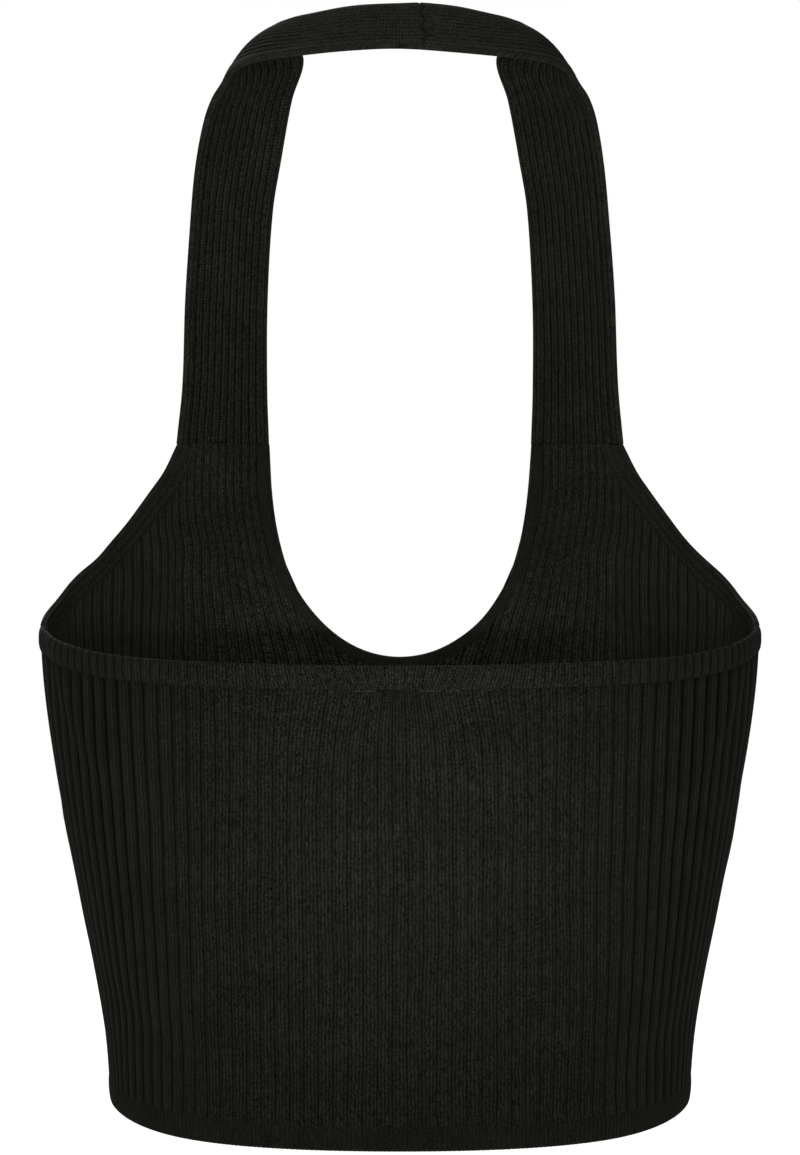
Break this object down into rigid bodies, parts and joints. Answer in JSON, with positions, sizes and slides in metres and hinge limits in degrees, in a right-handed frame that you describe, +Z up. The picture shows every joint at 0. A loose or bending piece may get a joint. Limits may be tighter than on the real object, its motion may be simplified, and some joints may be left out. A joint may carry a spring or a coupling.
{
  "type": "halter neck top",
  "caption": "Sleeveless ribbed knit crop top with a halter strap round the neck, a scooped front and a low straight back, filled out as worn.",
  "frame": {"origin": "the nape: the middle of the neck strap, on the side that lies on the neck", "axes": "+Z up, -Y out of the chest, +Y out of the back, +X to the wearer's left"},
  "size_m": [0.3018, 0.1993, 0.4668],
  "materials": {
    "body_rib": "black wide rib knit",
    "fine_rib": "black fine rib knit",
    "strap_rib": "black narrow rib knit"
  },
  "bodies": {
    "root": {"back_panel": "body_rib", "front_panel": "body_rib", "back_border": "fine_rib", "back_hem": "fine_rib", "front_hem": "fine_rib", "strap_left": "strap_rib", "strap_right": "strap_rib"}
  },
  "joints": []
}
